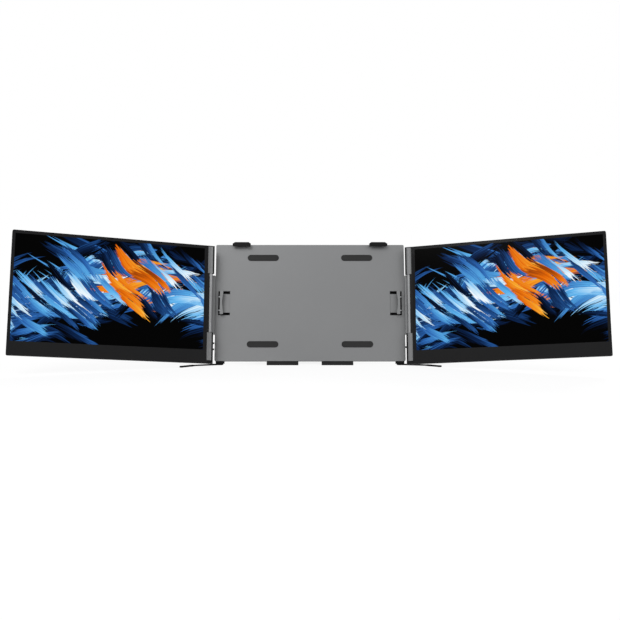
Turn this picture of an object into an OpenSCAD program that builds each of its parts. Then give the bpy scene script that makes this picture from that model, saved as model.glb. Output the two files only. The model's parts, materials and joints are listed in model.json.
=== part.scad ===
// Laptop screen extender: a centre frame that grips a laptop's lid, with a hinged
// screen on either side, standing on a desk on its pads, its two legs and a kickstand.
// +Z is up, +X is to the user's right, -Y is towards the user. The origin is on the
// desk, under the middle of the part. Most pieces are drawn upright in the frame's
// own plane and leaned back by stand(); a side screen is drawn flat from its hinge
// axis, with x outwards and y to the back, and turned by on_hinge().

/* [Stance] */
// Angle by which the frame leans back from upright
recline = 14.2; // [12:0.1:16]
// Angle by which each side screen is turned in from flat
screen_turn = 19.8; // [10:0.1:60]
// Height of the side screens' lower edge above the desk, at the hinges
desk_gap = 5.9; // [5.9:0.1:8]
// Forward swing of the left desk leg's blade from straight out
left_leg_swing = 19.5; // [14:0.5:60]
// Forward swing of the right desk leg's blade from straight out
right_leg_swing = 13.5; // [12:0.5:60]

/* [Side screens] */
// Height of a side screen
screen_h = 225; // [215:1:235]
// Reach of a side screen from its hinge axis to its outer edge
screen_reach = 362.7; // [358:0.1:368]
// Thickness of a side screen
screen_t = 9; // [9:0.1:9.6]
// Width of the picture
picture_w = 344.2; // [330:0.1:346]
// Height of the picture
picture_h = 193.6; // [185:0.1:195]
// Dark border between the picture and the outer edge
border_side = 5.5; // [4:0.1:8]
// Dark border between the picture and the top edge
border_top = 5.9; // [4:0.1:8]
// Wall of the rear shell
shell_wall = 1.2; // [1:0.1:1.3]
// Thickness of the front frame
front_frame_t = 1.6; // [1.4:0.1:1.6]
// Thickness of the cover glass
glass_t = 0.8; // [0.6:0.1:0.9]
// Thickness of the liquid crystal cell
cell_t = 1.2; // [1:0.1:1.2]
// Thickness of the backlight unit
backlight_t = 1.8; // [1.4:0.1:1.8]
// Radius of the screen's outer corners
screen_corner = 3; // [1:0.5:6]
// Chamfer along the rear edges
rear_chamfer = 2; // [1.5:0.1:2.4]

/* [Hinges] */
// Distance of each hinge axis from the side of the centre frame
axis_out = 7.6; // [7.4:0.1:11]
// Depth of the right hinge axis, which folds first
right_axis_y = 9; // [8.8:0.1:9.2]
// Clearance between the two screens when both are folded
stack_gap = 0.5; // [0.4:0.1:1]
// Radius of the middle knuckle
barrel_r = 4.5; // [4.2:0.1:4.5]
// Radius of the hinge shafts
shaft_r = 2; // [1.8:0.05:2.2]
// Running clearance round a shaft
run_gap = 0.05; // [0.02:0.01:0.09]
// Length of the lower knuckle
lower_knuckle = 58.7; // [56:0.1:60]
// Length of the upper knuckle
upper_knuckle = 53.1; // [50:0.1:56]
// Gap between two knuckles
knuckle_gap = 0.5; // [0.3:0.1:1]
// Length of screen body on the inner side of the hinge axis
knuckle_end = 6.7; // [6.4:0.1:7]
// Width of the hinge trim outside the axis
trim_out = 6; // [5.6:0.1:7]
// Width of the hinge trim inside the axis
trim_in = 3.8; // [3.4:0.1:4]
// Height of the dark foot below the lower trim
trim_foot = 6; // [3:0.5:8]

/* [Centre frame] */
// Half width of the centre frame
frame_half = 181; // [180.5:0.1:181.5]
// Height of the frame's lower edge in its own plane
frame_z0 = 8; // [7.5:0.1:9]
// Height of the frame's top edge above the side screens' top
frame_rise = 8.7; // [4:0.1:14]
// Depth of the front plate's face behind the screens' face line
plate_y = 23.4; // [23.4:0.1:26]
// Thickness of the front plate
plate_t = 1.5; // [1.2:0.1:1.8]
// Depth of the rear cover behind the front plate
cover_d = 8.1; // [8.1:0.1:10]
// Wall of the rear cover
cover_wall = 1.8; // [1.5:0.1:1.9]
// Radius of the frame's corners
frame_corner = 2.5; // [2.5:0.5:6]

/* [Lid grips] */
// Distance from the frame's side to the side of the laptop lid that the clips hold
lid_inset = 13.8; // [13:0.1:17.5]
// Space between the front plate and the clips' lips
mouth = 7.4; // [7.4:0.1:7.8]
// Thickness of the clips' and hooks' lips
lip_t = 1.7; // [1.5:0.1:1.7]
// Height of a side clip
clip_h = 45; // [42:1:48]
// Height of the side clips' middle above the middle knuckles' middle
clip_lift = 4; // [-1:0.1:5]
// Inward travel of a side clip
clip_in = 14; // [8:0.5:15]
// Outward travel of a side clip
clip_out = 2.2; // [2:0.1:3.4]
// Distance of each top hook from the middle
hook_x = 131.3; // [118:0.1:133]
// Width of a top hook
hook_w = 35.5; // [31:0.1:37]
// Height of a top hook above the frame at rest
hook_rise = 3.6; // [3.4:0.1:8]

/* [Kickstand and legs] */
// Length of the kickstand from its hinge to its foot
kick_l = 124.5; // [100:0.5:130]
// Angle between the kickstand and the frame when its foot meets the desk
kick_open = 24.2; // [20:0.1:40]
// Width of the kickstand
kick_w = 180; // [140:1:180]
// Thickness of the kickstand
kick_t = 2.2; // [1.8:0.1:2.2]
// Length of a desk leg from its pin to its tip, along its bend
leg_l = 82; // [70:1:86]
// Turn of a leg's shoe from its blade, towards the user
leg_bend = 22; // [0:1:30]
// Distance of each leg pin from the side of the centre frame
leg_inset = 10.5; // [8.6:0.1:12]
// Top of the leg's blade above the desk
leg_top = 2.1; // [1.9:0.1:2.1]

/* [Hidden] */
$fn = 48;
slop = 1;                 // overrun of every cutting shape
LEFT = -1;
RIGHT = 1;

grey = "#7d7f80";
dark_grey = "#262626";
black = "#151617";
rubber = "#1e1e1f";
steel = "#a9abad";

// Side screen, upright, from its hinge axis
front_v = -screen_t / 2;
back_v = screen_t / 2;
seam_v = front_v + front_frame_t;             // front frame meets rear shell
glass_seat_v = front_v + 0.1 + glass_t;       // the glass stands 0.1 back from the frame
cell_back_v = seam_v + cell_t;
backlight_back_v = cell_back_v + backlight_t;
inner_back_v = back_v - shell_wall;
trim_v = front_v + 1.2;                       // back of the hinge trim
notch_r = barrel_r + 0.7;                     // hollow round the middle knuckle
lip_u = sqrt(pow(notch_r, 2) - pow(screen_t / 2, 2));
cavity_u = notch_r + shell_wall + 0.2;
picture_u = screen_reach - border_side - picture_w;
chin_h = screen_h - border_top - picture_h;
rim = 1.2;                                    // frame visible round the glass
glass_u0 = trim_out + 2;
ledge = 1;                                    // seat of the glass
upper_z = screen_h - upper_knuckle;           // lower end of the upper knuckle
knuckle_round = 2.5;
trim_bow = 0.8;                               // fall of the trim's face from its middle to its sides
trim_cap = 1.2;                               // shell over the top of the upper trim
cell_edge = 2.5;                              // cell beyond the picture, beside and above
cell_low = chin_h - 6;                        // lower edges of the cell and the backlight
tray_low = chin_h - 9;
tray_pans = 4;                                // pressed pans in the backlight's tray
tray_pan_w = 45;
tray_pitch = 65;

// Stiffening ribs inside the mouldings
rib_t = 1.2;
rib_h = 2;
shell_rib_pitch = 50;
shell_rib_z = [42, 110, 150, 190];            // foot of the upright ribs, then the level ribs
cover_rib_pitch = 30;
side_rib_z = [-30, 30, 62];                   // level ribs beside the pocket, from clip_z

// Shafts, brackets and their screws
barrel_z0 = lower_knuckle + knuckle_gap;
barrel_z1 = upper_z - knuckle_gap;
shaft_grip = 21;                              // length of a shaft inside the middle knuckle
tube_l = [11.5, 27];                          // bracket tubes, lower and upper
tube_r = shaft_r + 1.1;
bracket_w = 32;
bracket_t = 1.2;
bracket_h = 46;
bracket_screw_r = 1;
bracket_spots = [[14, 10], [26, 10], [14, 38], [26, 38]];

// Buttons
button_r = 1.6;
button_out = 2.6;                             // how far a button stands out
button_travel = 0.8;
power_z = [39, 33];                           // left and right power button heights
menu_z = 27.5;
button_board_z = [20.5, 44];                  // lower and upper ends of a button board
switch_t = 1.2;
button_board_u = -knuckle_end + shell_wall + 0.35 + 2 * button_travel + switch_t;

// Ports and controller board, near the outer edge
port_l = 7;
usb_z = [44, 62];
usb_w = 8.94;
usb_h = 3.1;
hdmi_z = 82;
hdmi_w = 10.6;
hdmi_h = 2.9;
port_v = (backlight_back_v + inner_back_v) / 2;
board_t = 0.8;
board_w = 96;
board_h = 66;
board_z = 30;
board_u = screen_reach - port_l - board_w;
board_v = inner_back_v - 1.6;
// Corner and size of each chip on the controller board
chips = [[20, 20, 14, 14], [48, 28, 18, 12], [30, 46, 9, 9], [72, 14, 6, 6]];
chip_t = 0.8;
ribbon_t = 0.25;
ribbon_gap = 0.05;
panel_ribbon = [board_u + 20, board_u + 34];  // sides of the ribbon to the cell
button_ribbon_z = [30, 36];                   // edges of the ribbon from the buttons

// Hinge axes: the left screen folds over the folded right one
axis_x = frame_half + axis_out;
left_axis_y = right_axis_y - screen_t - stack_gap;

// Centre frame
frame_z1 = screen_h + frame_rise;
lid_half = frame_half - lid_inset;
clip_z = (barrel_z0 + barrel_z1) / 2 + clip_lift;
plate_back = plate_y + plate_t;
cover_back = plate_back + cover_d;
cover_in = cover_back - cover_wall;
arm_y0 = right_axis_y + screen_t / 2 + 0.5;   // front of the arms' side blocks
web_half = 2.1;
web_fillet = 1;
block_x1 = axis_x + web_half;
tab_t = 3;
tab_l = 29.5;
tab_x0 = frame_half - tab_l;
tab_z = [[barrel_z0 + 3, clip_z - clip_h / 2 - 4], [clip_z + clip_h / 2 + 4, barrel_z1 - 3]];
tab_screw_x = [tab_x0 + 7, tab_x0 + 20];

// Lid grips
lip_y1 = plate_y - mouth;
lip_y0 = lip_y1 - lip_t;
clip_pad_t = 0.8;
clip_wall = 3.6;
clip_x0 = lid_half + clip_pad_t;
clip_x1 = clip_x0 + clip_wall;
clip_lip = 2.7;                               // overhang of the lip past the wall
clip_waist = 1.8;                             // how far the lip draws in at mid height
clip_plate_t = 1.8;
clip_plate_y = plate_back + 0.3;
clip_plate_l = 44.8;                          // plate behind the front plate, inwards of the wall
clip_plate_x = clip_x0 - clip_plate_l;
clip_arm_h = clip_h - 9;
slot_gap = 0.9;                               // slot clearance above and below a clip
slot_out = 1.5;                               // slot clearance outside a clip drawn right out
rod_y = plate_back + 3.1;
rod_r = 1.5;
rod_dz = 13;
rod_post_x = clip_plate_x - clip_in - 8;
rod_post_w = 4;
lug_r = 2.9;
lug_x = [clip_plate_x + 2, clip_plate_x + 28];
lug_w = 12;
spring_x0 = rod_post_x + rod_post_w + 2.5;
spring_x1 = clip_plate_x + 22.5;
spring_y = cover_in - 2;
spring_r = 1.5;
spring_wire = 0.3;
spring_turns = 16;
anchor_r = 1.5;

hook_top = frame_z1 + hook_rise;
hook_cap = 1.9;                               // thickness of the hook's top
hook_slant = 4.6;                             // how far each side draws in towards the top
hook_lip = 8.5;                               // depth of the hook's front lip
hook_arm_w = 26;
hook_arm_l = 44;
hook_guide = 1.2;
hook_pad_t = 0.8;
lid_pad = [60, 12];
lid_pad_t = 0.8;
lid_pad_at = [[90, 40], [90, 208]];

// Kickstand: its hinge is as high as its foot on the desk needs
kick_pin_r = 1.25;
kick_barrel_r = 2.3;
kick_y = cover_back - kick_barrel_r;
kick_foot_r = 2;
kick_mid = kick_barrel_r - kick_t / 2;        // blade's mid plane behind the pin
kick_foot_y = kick_y + kick_mid * cos(kick_open) + kick_l * sin(kick_open);
kick_foot_z = (kick_foot_r - desk_gap + kick_foot_y * sin(recline)) / cos(recline);
kick_z = kick_foot_z - kick_mid * sin(kick_open) + kick_l * cos(kick_open);
kick_gap = 1.2;                               // pocket clearance round the kickstand
pocket_d = kick_t + 0.3;
pocket_wall = 1.6;
kick_pin_l = 9;
kick_window = [100, 62];

// Desk legs
leg_blade = leg_top - 0.2;
leg_hub_r = 6;
leg_hub_half = 4.6;
leg_tip_half = 3.4;
shoe_l = 32;
shoe_r = 4.2;
shoe_t = 2.5;
tongue_l = 24;
tongue_half = 1.5;
tongue_z = [0.7, leg_top - 0.3];
leg_pin_r = 2;
leg_head_r = 3.4;
leg_head_t = 1;
leg_pin_top = 9.5;
mount_half = 8.5;
mount_r = 4.1;
leg_x = frame_half - leg_inset;
mount_y = (plate_y + cover_back) / 2 * cos(recline) + frame_z0 * sin(recline);

base_pad_w = 60;
base_pad_x = 52;
base_pad_y = [plate_y + 0.6, plate_y + 6.1];

cover_spot_in = 12;                           // screws from the frame's lower and upper edge
cover_spots = [[tab_x0, frame_z0 + cover_spot_in],
    [(hook_x + hook_w / 2 + frame_half) / 2, frame_z1 - cover_spot_in],
    [kick_w / 2 + 9, clip_z + 35]];
screw_r = 1.1;
screw_head_r = 2.2;
screw_head_t = 1.4;
screw_bite = 1;                               // how far a screw enters the front plate

// Middle of the standing part, front to back
front_reach = left_axis_y - screen_reach * sin(screen_turn) + front_v * cos(screen_turn);
foot_reach = kick_foot_y * cos(recline) + kick_foot_z * sin(recline) + kick_foot_r;
cover_reach = cover_back * cos(recline) + (frame_z1 - rear_chamfer) * sin(recline);
mid_y = (front_reach * cos(recline) + max(foot_reach, cover_reach)) / 2;

// ---- Placing ----

// Leans the upright frame back and stands it on the desk
module stand() {
    translate([0, -mid_y, desk_gap]) rotate([-recline, 0, 0]) children();
}

// The way back from the desk's axes to the upright frame
module unstand() {
    rotate([recline, 0, 0]) translate([0, mid_y, -desk_gap]) children();
}

module sided(side) {
    if (side < 0) mirror([1, 0, 0]) children();
    else children();
}

module both() {
    children();
    mirror([1, 0, 0]) children();
}

// Puts a side screen's piece on its hinge axis, turned as it rests
module on_hinge(side) {
    axis_y = side < 0 ? left_axis_y : right_axis_y;
    stand() sided(side) translate([axis_x, axis_y, 0]) rotate([0, 0, -screen_turn]) children();
}

// Puts a leg's piece on its pin, swung as it rests
module on_leg(side) {
    swing = side < 0 ? left_leg_swing : right_leg_swing;
    sided(side) translate([leg_x, mount_y - mid_y, 0]) rotate([0, 0, -swing]) children();
}

module on_kickstand() {
    stand() translate([0, kick_y, kick_z]) rotate([kick_open, 0, 0]) children();
}

// ---- Shapes ----

// Extrudes an outline in x and z from depth y0 to depth y1
module slab(y0, y1) {
    translate([0, y1, 0]) rotate([90, 0, 0]) linear_extrude(y1 - y0) children();
}

// Extrudes an outline in y and z along x, from x0 to x1
module along_x(x0, x1) {
    translate([x0, 0, 0]) rotate([90, 0, 90]) linear_extrude(x1 - x0) children();
}

module rod_x(x0, x1, r) {
    translate([x0, 0, 0]) rotate([0, 90, 0]) cylinder(h = x1 - x0, r = r);
}

module rod_y(y0, y1, r) {
    translate([0, y0, 0]) rotate([-90, 0, 0]) cylinder(h = y1 - y0, r = r);
}

module block(low, high) {
    translate(low) cube(high - low);
}

module round_rect(x0, z0, x1, z1, r) {
    translate([x0 + r, z0]) square([x1 - x0 - 2 * r, z1 - z0]);
    translate([x0, z0 + r]) square([x1 - x0, z1 - z0 - 2 * r]);
    for (x = [x0 + r, x1 - r], z = [z0 + r, z1 - r]) translate([x, z]) circle(r);
}

module stadium(w, h) {
    square([w - h, h], center = true);
    for (s = [-1, 1]) translate([s * (w - h) / 2, 0]) circle(h / 2, $fn = 32);
}

// A screw along -y with its head's seat at y = 0 and a hexagon socket
module screw(shank_r, shank_l, head_r, head_t) {
    difference() {
        union() {
            rod_y(-shank_l, 0, shank_r);
            rod_y(0, head_t, head_r);
        }
        translate([0, head_t * 0.4, 0]) rotate([-90, 0, 0])
            cylinder(h = head_t, r = head_r * 0.5, $fn = 6);
    }
}

// ---- Side screens ----

// Plan of a knuckle block, with a round inner end
module knuckle_plan() {
    r = knuckle_round;
    translate([-knuckle_end + r, front_v]) square([knuckle_end + trim_out - r, screen_t]);
    translate([-knuckle_end, front_v + r]) square([r, screen_t - 2 * r]);
    for (v = [front_v + r, back_v - r]) translate([-knuckle_end + r, v]) circle(r);
}

// Outline of the screen's face outside u0, with round outer corners
module screen_outline(u0, u1, z0, z1) {
    r = screen_corner;
    translate([u0, z0]) square([u1 - u0 - r, z1 - z0]);
    translate([u0, z0 + r]) square([u1 - u0, z1 - z0 - 2 * r]);
    for (z = [z0 + r, z1 - r]) translate([u1 - r, z]) circle(r);
}

module barrel_notch() {
    translate([0, 0, lower_knuckle]) cylinder(h = upper_z - lower_knuckle, r = notch_r);
}

module rear_chamfers() {
    c = rear_chamfer;
    along_x(-knuckle_end - slop, screen_reach + slop)
        polygon([[back_v - c - slop, -slop], [back_v + slop, -slop], [back_v + slop, c + slop]]);
    along_x(-knuckle_end - slop, screen_reach + slop) polygon([[back_v - c - slop, screen_h + slop],
        [back_v + slop, screen_h + slop], [back_v + slop, screen_h - c - slop]]);
    translate([0, 0, -slop]) linear_extrude(screen_h + 2 * slop)
        polygon([[screen_reach + slop, back_v - c - slop], [screen_reach + slop, back_v + slop],
            [screen_reach - c - slop, back_v + slop]]);
}

module port_holes() {
    gap = 0.3;
    for (z = usb_z) translate([screen_reach - port_l, port_v, z]) rotate([0, 90, 0])
        linear_extrude(port_l + slop) stadium(usb_w + gap, usb_h + gap);
    translate([screen_reach - port_l, port_v, hdmi_z])
        translate([0, -(hdmi_h + gap) / 2, -(hdmi_w + gap) / 2])
        cube([port_l + slop, hdmi_h + gap, hdmi_w + gap]);
}

// Upright and level ribs on the rear shell's inside, clear of the brackets and the board
module shell_ribs() {
    v0 = backlight_back_v + 0.4;
    v1 = inner_back_v + 0.2;
    high = screen_h - shell_wall - 1;
    board_top = board_z + board_h + 8;
    for (u = [bracket_w + 28 : shell_rib_pitch : screen_reach - 40])
        block([u - rib_t / 2, v0, u > board_u - 4 ? board_top : shell_rib_z[0]], [u + rib_t / 2, v1, high]);
    for (z = [for (i = [1 : len(shell_rib_z) - 1]) shell_rib_z[i]])
        block([bracket_w + 4, v0, z - rib_t / 2], [screen_reach - shell_wall / 2, v1, z + rib_t / 2]);
}

module rear_shell(buttons) {
    w = shell_wall;
    color(black) difference() {
        union() {
            slab(seam_v, back_v) screen_outline(lip_u, screen_reach, 0, screen_h);
            linear_extrude(lower_knuckle) knuckle_plan();
            translate([0, 0, upper_z]) linear_extrude(upper_knuckle) knuckle_plan();
        }
        barrel_notch();
        rear_chamfers();
        block([cavity_u, seam_v - slop, w], [screen_reach - w, inner_back_v - 0.6, screen_h - w]);
        block([cavity_u, seam_v - slop, w + 2], [screen_reach - w - 2, inner_back_v, screen_h - w - 2]);
        for (z = [[w, lower_knuckle - w], [upper_z + w, screen_h - w - 2]])
            block([-knuckle_end + w, trim_v, max(z[0], w + 2)], [cavity_u + slop, inner_back_v, z[1]]);
        for (z = [[trim_foot, lower_knuckle], [upper_z, screen_h - trim_cap]])
            block([-trim_in, front_v - slop, z[0]], [trim_out + slop, trim_v, z[1]]);
        for (z = [lower_knuckle - w - slop, upper_z - slop])
            translate([0, 0, z]) cylinder(h = w + 2 * slop, r = shaft_r + 0.3);
        for (z = buttons) translate([0, 0, z])
            rod_x(-knuckle_end - slop, -knuckle_end + w + slop, button_r + 0.15);
        port_holes();
        for (b = bracket_screw_spots()) translate([b[0], 0, b[1]])
            rod_y(inner_back_v - slop, inner_back_v + 0.8, bracket_screw_r);
    }
    color(black) for (u = [6, board_w - 6], z = [6, board_h - 6])
        translate([board_u + u, 0, board_z + z]) rod_y(board_v + board_t, inner_back_v, 2);
    color(black) shell_ribs();
}

module front_frame() {
    color(dark_grey) difference() {
        slab(front_v, seam_v) {
            screen_outline(trim_out, screen_reach, 0, screen_h);
            translate([lip_u, lower_knuckle]) square([trim_out - lip_u + slop, upper_z - lower_knuckle]);
        }
        barrel_notch();
        slab(front_v - slop, glass_seat_v) glass_outline();
        block([glass_u0 + ledge, front_v - slop, chin_h + ledge],
            [screen_reach - rim - ledge, seam_v + slop, screen_h - rim - ledge]);
    }
}

module glass_outline() {
    round_rect(glass_u0, chin_h, screen_reach - rim, screen_h - rim, screen_corner - rim + 0.2);
}

module screen_glass() {
    color("#050506") slab(glass_seat_v - glass_t, glass_seat_v) glass_outline();
}

module lcd_cell() {
    color("#2b2d30") block([picture_u - cell_edge, seam_v, cell_low],
        [picture_u + picture_w + cell_edge, cell_back_v, chin_h + picture_h + cell_edge]);
}

module backlight() {
    color("#c9cbcd") difference() {
        block([cavity_u + 1, cell_back_v, tray_low],
            [screen_reach - shell_wall - 0.8, backlight_back_v, screen_h - shell_wall - 0.8]);
        for (i = [1 : tray_pans]) translate([cavity_u + i * tray_pitch, 0, 0])
            block([0, backlight_back_v - 0.5, chin_h + 8],
                [tray_pan_w, backlight_back_v + slop, screen_h - 16]);
    }
}

// Plan of the hinge trim: flat at the back, bowed in front
module trim_plan() {
    w = trim_in + trim_out;
    r = (pow(w, 2) / 4 + pow(trim_bow, 2)) / 2 / trim_bow;
    intersection() {
        translate([-trim_in, front_v]) square([w, trim_v - front_v]);
        translate([(trim_out - trim_in) / 2, front_v + r]) circle(r, $fn = 360);
    }
}

module hinge_trim() {
    color(grey) for (z = [[trim_foot, lower_knuckle], [upper_z, screen_h - trim_cap]])
        translate([0, 0, z[0]]) linear_extrude(z[1] - z[0]) trim_plan();
}

function tube_z0(i) = i == 0 ? lower_knuckle - shell_wall - tube_l[0] : upper_z + shell_wall;
function bracket_z0(i) = i == 0 ? lower_knuckle - shell_wall - bracket_h : upper_z + shell_wall;
function bracket_screw_spots() =
    [for (i = [0, 1], s = bracket_spots) [s[0], bracket_z0(i) + s[1] - 2]];

module hinge_brackets() {
    color(steel) for (i = [0, 1]) difference() {
        union() {
            translate([0, 0, tube_z0(i)]) cylinder(h = tube_l[i], r = tube_r);
            block([0, inner_back_v - bracket_t, tube_z0(i)], [cavity_u, inner_back_v, tube_z0(i) + tube_l[i]]);
            block([cavity_u - slop, inner_back_v - bracket_t, bracket_z0(i)],
                [bracket_w, inner_back_v, bracket_z0(i) + bracket_h]);
        }
        translate([0, 0, tube_z0(i) - slop]) cylinder(h = tube_l[i] + 2 * slop, r = shaft_r + run_gap);
        for (s = bracket_spots) translate([s[0], 0, bracket_z0(i) + s[1] - 2])
            rod_y(0, back_v, bracket_screw_r);
    }
}

module bracket_screws() {
    color(steel) for (s = bracket_screw_spots()) translate([s[0], inner_back_v - bracket_t, s[1]])
        mirror([0, 1, 0]) screw(bracket_screw_r, bracket_t + 0.8, 1.9, 0.8);
}

module controller_board() {
    w = board_w;
    color("#1f5a3a") difference() {
        block([board_u, board_v, board_z], [board_u + w, board_v + board_t, board_z + board_h]);
        for (u = [6, w - 6], z = [6, board_h - 6])
            translate([board_u + u, 0, board_z + z]) rod_y(board_v - slop, board_v + board_t + slop, 1.1);
    }
    color("#202224") for (c = chips) translate([board_u + c[0], board_v - chip_t, board_z + c[1]])
        cube([c[2], chip_t, c[3]]);
}

module button_board(buttons) {
    half = inner_back_v - 0.1;
    color("#1f5a3a") block([button_board_u, -half, button_board_z[0]],
        [button_board_u + board_t, half, button_board_z[1]]);
    color("#202224") for (z = buttons)
        block([button_board_u - switch_t, -1.6, z - 1.6], [button_board_u, 1.6, z + 1.6]);
}

// Flat cables: one round the backlight's lower edge to the cell, one from the buttons
module ribbon_cables() {
    t = ribbon_t;
    back = board_v - ribbon_gap;
    front = seam_v + 0.5;
    top = board_z + 6;
    low = tray_low - 3.5;
    end = cell_low - ribbon_gap;
    color("#b98a3c") along_x(panel_ribbon[0], panel_ribbon[1]) polygon([[back, top], [back - t, top],
        [back - t, low + t], [front + t, low + t], [front + t, end], [front, end], [front, low],
        [back, low]]);
    color("#b98a3c") block([button_board_u + board_t + ribbon_gap, board_v, button_ribbon_z[0]],
        [board_u - ribbon_gap, board_v + t, button_ribbon_z[1]]);
}

module side_button(z) {
    flange_u = -knuckle_end + shell_wall + 0.05;
    color(dark_grey) translate([0, 0, z]) {
        rod_x(-knuckle_end - button_out, flange_u + 0.7 + 0.3, button_r);
        rod_x(flange_u, flange_u + 0.7, button_r + 0.6);
    }
}

module usb_ports() {
    color(steel) for (z = usb_z) translate([screen_reach - port_l, port_v, z]) rotate([0, 90, 0]) {
        linear_extrude(port_l - 0.1) difference() {
            stadium(usb_w, usb_h);
            stadium(usb_w - 0.6, usb_h - 0.6);
        }
        linear_extrude(1) stadium(usb_w, usb_h);
        linear_extrude(port_l - 1.2) square([usb_w - 2.6, 0.7], center = true);
    }
}

module hdmi_port() {
    a = hdmi_w / 2;
    b = hdmi_h / 2;
    color(steel) translate([screen_reach - port_l, port_v, hdmi_z]) rotate([0, 90, 0]) {
        linear_extrude(port_l - 0.1) difference() {
            polygon([[-a, -b], [a, -b], [a, 0.3], [a - 1.1, b], [1.1 - a, b], [-a, 0.3]]);
            polygon([[0.35 - a, 0.35 - b], [a - 0.35, 0.35 - b], [a - 0.35, 0.2],
                [a - 1.25, b - 0.35], [1.25 - a, b - 0.35], [0.35 - a, 0.2]]);
        }
        linear_extrude(1) polygon([[-a, -b], [a, -b], [a, 0.3], [a - 1.1, b], [1.1 - a, b], [-a, 0.3]]);
        linear_extrude(port_l - 1.2) square([hdmi_w - 3.2, 0.7], center = true);
    }
}

// ---- Centre frame ----

module clip_slot() {
    block([clip_x0 - clip_in - slop, plate_y - slop, clip_z - clip_h / 2 - slot_gap],
        [clip_x1 + clip_out + slot_out, plate_back + slop, clip_z + clip_h / 2 + slot_gap]);
}

module front_plate() {
    color(grey) difference() {
        slab(plate_y, plate_back) round_rect(-frame_half, frame_z0, frame_half, frame_z1, frame_corner);
        both() {
            clip_slot();
            for (s = cover_spots) translate([s[0], 0, s[1]])
                rod_y(plate_back - screw_bite, plate_back + slop, screw_r);
            for (x = tab_screw_x, z = tab_screw_z()) translate([x, 0, z])
                rod_y(plate_back - screw_bite, plate_back + slop, screw_r + 0.4);
        }
    }
}

function tab_screw_z() = [for (z = tab_z) (z[0] + z[1]) / 2];

// Cover blank: a plate with round corners and a chamfered rear edge
module cover_blank() {
    c = rear_chamfer;
    r = frame_corner;
    hull() for (x = [-frame_half + r, frame_half - r], z = [frame_z0 + r, frame_z1 - r])
        translate([x, plate_back, z]) rotate([-90, 0, 0]) {
            cylinder(h = cover_d - c, r = r, $fn = 32);
            cylinder(h = cover_d, r = r - c, $fn = 32);
        }
}

module kick_pocket() {
    half = kick_w / 2 + kick_gap;
    block([-half, cover_back - pocket_d, frame_z0 - slop], [half, cover_back + slop, kick_z]);
    translate([0, kick_y, kick_z]) rod_x(-half, half, kick_barrel_r + 0.3);
    block([-half, kick_y, kick_z - slop], [half, cover_back + slop, kick_z + kick_barrel_r + 0.3]);
}

module cover_posts() {
    both() {
        for (s = cover_spots) translate([s[0], 0, s[1]]) rod_y(plate_back, cover_in + 0.2, 3.2);
        for (z = [-rod_dz, rod_dz]) block([rod_post_x, plate_back, clip_z + z - 3.4],
            [rod_post_x + rod_post_w, cover_in + 0.2, clip_z + z + 3.4]);
        translate([spring_x0 - anchor_r, 0, clip_z]) rod_y(clip_plate_y + clip_plate_t + 0.3,
            cover_in + 0.2, anchor_r);
        for (s = [-1, 1]) block([hook_x + s * (hook_arm_w / 2 + 0.3) + (s < 0 ? -hook_guide : 0),
            plate_back, hook_top - hook_cap - hook_arm_l], [hook_x + s * (hook_arm_w / 2 + 0.3)
            + (s > 0 ? hook_guide : 0), cover_in + 0.2, frame_z1 - cover_wall]);
        block([hook_x - 4, clip_plate_y + clip_plate_t + 0.2, hook_top - hook_cap - hook_arm_l],
            [hook_x + 4, cover_in + 0.2, frame_z1 - cover_wall]);
    }
}

// Ribs above the kickstand's pocket and across the sides, above and below the clips
module cover_ribs() {
    half = kick_w / 2;
    low = kick_z + kick_barrel_r + 1;
    high = frame_z1 - cover_wall / 2;
    y0 = cover_in - rib_h;
    y1 = cover_in + 0.2;
    for (x = [-floor(half / cover_rib_pitch) : floor(half / cover_rib_pitch)])
        translate([x * cover_rib_pitch, 0, 0]) block([-rib_t / 2, y0, low], [rib_t / 2, y1, high]);
    for (z = [2 * low / 3 + high / 3, low / 3 + 2 * high / 3])
        block([-half, y0, z - rib_t / 2], [half, y1, z + rib_t / 2]);
    both() for (z = side_rib_z)
        translate([0, 0, clip_z + z])
        block([half, y0, -rib_t / 2], [frame_half - cover_wall / 2, y1, rib_t / 2]);
}

module rear_cover() {
    w = cover_wall;
    half = kick_w / 2 + kick_gap;
    color(dark_grey) difference() {
        union() {
            difference() {
                cover_blank();
                slab(plate_back - slop, cover_in)
                    round_rect(-frame_half + w, frame_z0 + w, frame_half - w, frame_z1 - w, frame_corner - w);
            }
            block([-half - w, cover_back - pocket_d - pocket_wall, frame_z0 + w - 0.2],
                [half + w, cover_in + 0.2, kick_z + kick_barrel_r + 2]);
            cover_posts();
            cover_ribs();
        }
        kick_pocket();
        both() {
            for (s = cover_spots) translate([s[0], 0, s[1]]) {
                rod_y(plate_back - slop, cover_back, screw_r + 0.2);
                rod_y(cover_back - screw_head_t - 0.2, cover_back + slop, screw_head_r + 0.2);
            }
            for (z = [-rod_dz, rod_dz]) translate([0, rod_y, clip_z + z])
                rod_x(rod_post_x + 1, rod_post_x + rod_post_w + slop, rod_r);
            for (z = tab_z) block([frame_half - w - slop, plate_back - slop, z[0]],
                [frame_half + slop, plate_back + tab_t, z[1]]);
            block([hook_x - hook_arm_w / 2 - 0.3, plate_back - slop, frame_z1 - w - slop],
                [hook_x + hook_arm_w / 2 + 0.3, clip_plate_y + clip_plate_t + 0.2, frame_z1 + slop]);
            translate([0, kick_y, kick_z])
                rod_x(half - slop, kick_w / 2 - 1 + kick_pin_l, kick_pin_r);
            unstand() translate([leg_x, mount_y - mid_y, 0]) cylinder(h = leg_pin_top + 0.5, r = leg_pin_r);
        }
    }
}

module lid_pads() {
    color(rubber) both() for (p = lid_pad_at) slab(plate_y - lid_pad_t, plate_y)
        translate(p) stadium(lid_pad[0], lid_pad[1]);
}

// Height of the desk's plane in the upright frame at depth y
function desk_at(y) = y * tan(recline) - desk_gap / cos(recline);

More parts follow.
